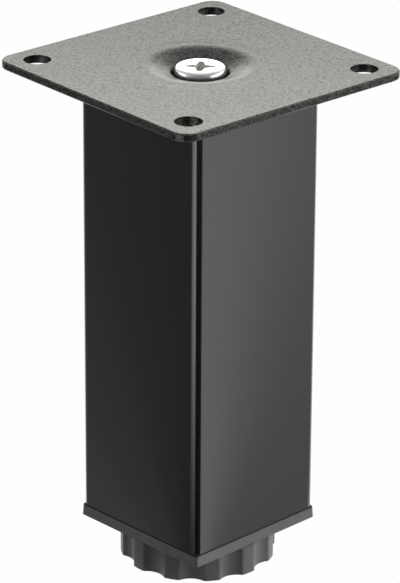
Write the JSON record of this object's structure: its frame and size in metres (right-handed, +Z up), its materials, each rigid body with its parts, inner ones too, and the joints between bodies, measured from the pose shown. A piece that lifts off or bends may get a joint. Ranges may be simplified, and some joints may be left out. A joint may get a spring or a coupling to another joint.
{
  "type": "adjustable square furniture leg",
  "caption": "Short square tube furniture leg with a dished mounting plate on a central screw, a ribbed end plug and a lobed foot that screws in and out for levelling.",
  "frame": {"origin": "centre of the foot's base, on the floor, on the leg's axis, with the foot screwed fully in", "axes": "+Z up along the leg to the mounting plate; X and Y square to the tube's faces"},
  "size_m": [0.0712, 0.0712, 0.1255],
  "materials": {
    "plate_coat": "black powder coat with a fine texture",
    "tube_coat": "smooth satin black powder coat",
    "screw_plating": "bright zinc plating",
    "thread_plating": "zinc plating",
    "plain_steel": "bare mild steel",
    "plug_plastic": "black moulded plastic",
    "foot_plastic": "black moulded plastic"
  },
  "bodies": {
    "leg": {"mounting_plate": "plate_coat", "fixing_screw": "screw_plating", "nut_plate": "plain_steel", "leg_tube": "tube_coat", "end_plug": "plug_plastic", "plug_nut": "thread_plating"},
    "stem": {"adjuster_stem": "thread_plating"},
    "foot": {"adjuster_foot": "foot_plastic"}
  },
  "joints": [
    {"name": "stem_travel", "type": "slide", "parent": "leg", "child": "stem", "axis": [0, 0, -1], "range_m": [0, 0.015]},
    {"name": "foot_turn", "type": "hinge", "parent": "stem", "child": "foot", "pos_m": [0, 0, 0.004], "axis": [0, 0, -1], "range_deg": [0, 4320]}
  ],
  "couplings": [
    {"joint": "stem_travel", "follows": "foot_turn", "m_per_rad": 0.00019894}
  ]
}
